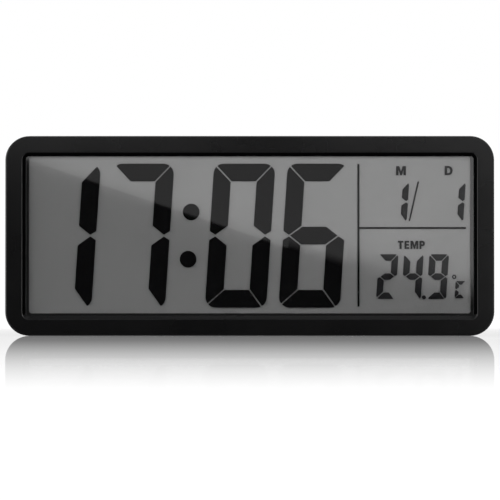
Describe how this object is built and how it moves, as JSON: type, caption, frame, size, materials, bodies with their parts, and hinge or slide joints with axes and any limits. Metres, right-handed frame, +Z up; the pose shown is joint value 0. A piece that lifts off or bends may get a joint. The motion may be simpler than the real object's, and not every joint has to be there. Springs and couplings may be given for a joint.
{
  "type": "digital wall clock",
  "caption": "Wide wall and table clock with a large reflective LCD in a rounded bezel, fold-out stand, battery door, push buttons and keyhole hangers on the back.",
  "frame": {"origin": "under the middle of the case, on the surface that the clock stands on", "axes": "+X to the viewer's right along the clock's length, +Y from the display to the back, +Z up"},
  "size_m": [0.365, 0.03, 0.1493],
  "materials": {
    "case_plastic": "fine moulded texture, satin",
    "button_plastic": "smooth satin",
    "lens_acrylic": "polished",
    "mask_foam": "dull film",
    "polariser_film": "polished film",
    "display_glass": "polished",
    "seal_resin": "cured resin",
    "segment_dye": "dark liquid crystal",
    "reflector_film": "frosted silver film",
    "holder_plastic": "natural moulded",
    "ribbon_film": "printed film",
    "board_laminate": "solder mask",
    "chip_resin": "cast resin",
    "crystal_can": "drawn can",
    "capacitor_can": "sleeved can",
    "switch_body": "moulded",
    "switch_stem": "moulded",
    "sensor_resin": "dipped bead",
    "buzzer_plastic": "moulded",
    "red_lead": "insulated wire",
    "black_lead": "insulated wire",
    "screw_steel": "zinc plated",
    "cell_jacket": "wrapped can",
    "contact_steel": "nickel plated",
    "pin_steel": "ground rod",
    "pad_rubber": "soft rubber"
  },
  "bodies": {
    "case": {"front_bezel": "case_plastic", "rear_case": "case_plastic", "display_lens": "lens_acrylic", "display_mask": "mask_foam", "lcd_front_polariser": "polariser_film", "lcd_front_glass": "display_glass", "lcd_rear_glass": "display_glass", "lcd_cell_seal": "seal_resin", "hour_segments": "segment_dye", "minute_segments": "segment_dye", "colon_dots": "segment_dye", "date_segments": "segment_dye", "temperature_segments": "segment_dye", "panel_lines": "segment_dye", "lcd_reflector": "reflector_film", "lcd_holder": "holder_plastic", "lcd_ribbon": "ribbon_film", "main_board": "board_laminate", "controller_chip": "chip_resin", "quartz_crystal": "crystal_can", "board_capacitors": "capacitor_can", "tact_switches": "switch_body", "temperature_sensor": "sensor_resin", "buzzer": "buzzer_plastic", "battery_lead_red": "red_lead", "battery_lead_black": "black_lead", "board_screws": "screw_steel", "holder_screws": "screw_steel", "case_screws": "screw_steel", "battery_cells": "cell_jacket", "battery_springs": "contact_steel", "battery_plates": "contact_steel", "stand_pin": "pin_steel"},
    "stand": {"stand_leg": "case_plastic", "stand_pads": "pad_rubber"},
    "battery_door": {"battery_door": "case_plastic"},
    "mode_button": {"mode_button": "button_plastic", "mode_switch_stem": "switch_stem"},
    "set_button": {"set_button": "button_plastic", "set_switch_stem": "switch_stem"},
    "up_button": {"up_button": "button_plastic", "up_switch_stem": "switch_stem"},
    "down_button": {"down_button": "button_plastic", "down_switch_stem": "switch_stem"},
    "alarm_button": {"alarm_button": "button_plastic", "alarm_switch_stem": "switch_stem"}
  },
  "joints": [
    {"name": "stand_hinge", "type": "hinge", "parent": "case", "child": "stand", "pos_m": [0, 0.0124, 0.09665], "axis": [1, 0, 0], "range_deg": [0, 30]},
    {"name": "battery_door_hinge", "type": "hinge", "parent": "case", "child": "battery_door", "pos_m": [0.09308, 0.0141, 0.07755], "axis": [1, 0, 0], "range_deg": [0, 95]},
    {"name": "mode_press", "type": "slide", "parent": "case", "child": "mode_button", "axis": [0, -1, 0], "range_m": [0, 0.0008], "stiffness_N_per_m": 400},
    {"name": "set_press", "type": "slide", "parent": "case", "child": "set_button", "axis": [0, -1, 0], "range_m": [0, 0.0008], "stiffness_N_per_m": 400},
    {"name": "up_press", "type": "slide", "parent": "case", "child": "up_button", "axis": [0, -1, 0], "range_m": [0, 0.0008], "stiffness_N_per_m": 400},
    {"name": "down_press", "type": "slide", "parent": "case", "child": "down_button", "axis": [0, -1, 0], "range_m": [0, 0.0008], "stiffness_N_per_m": 400},
    {"name": "alarm_press", "type": "slide", "parent": "case", "child": "alarm_button", "axis": [0, -1, 0], "range_m": [0, 0.0008], "stiffness_N_per_m": 400}
  ]
}
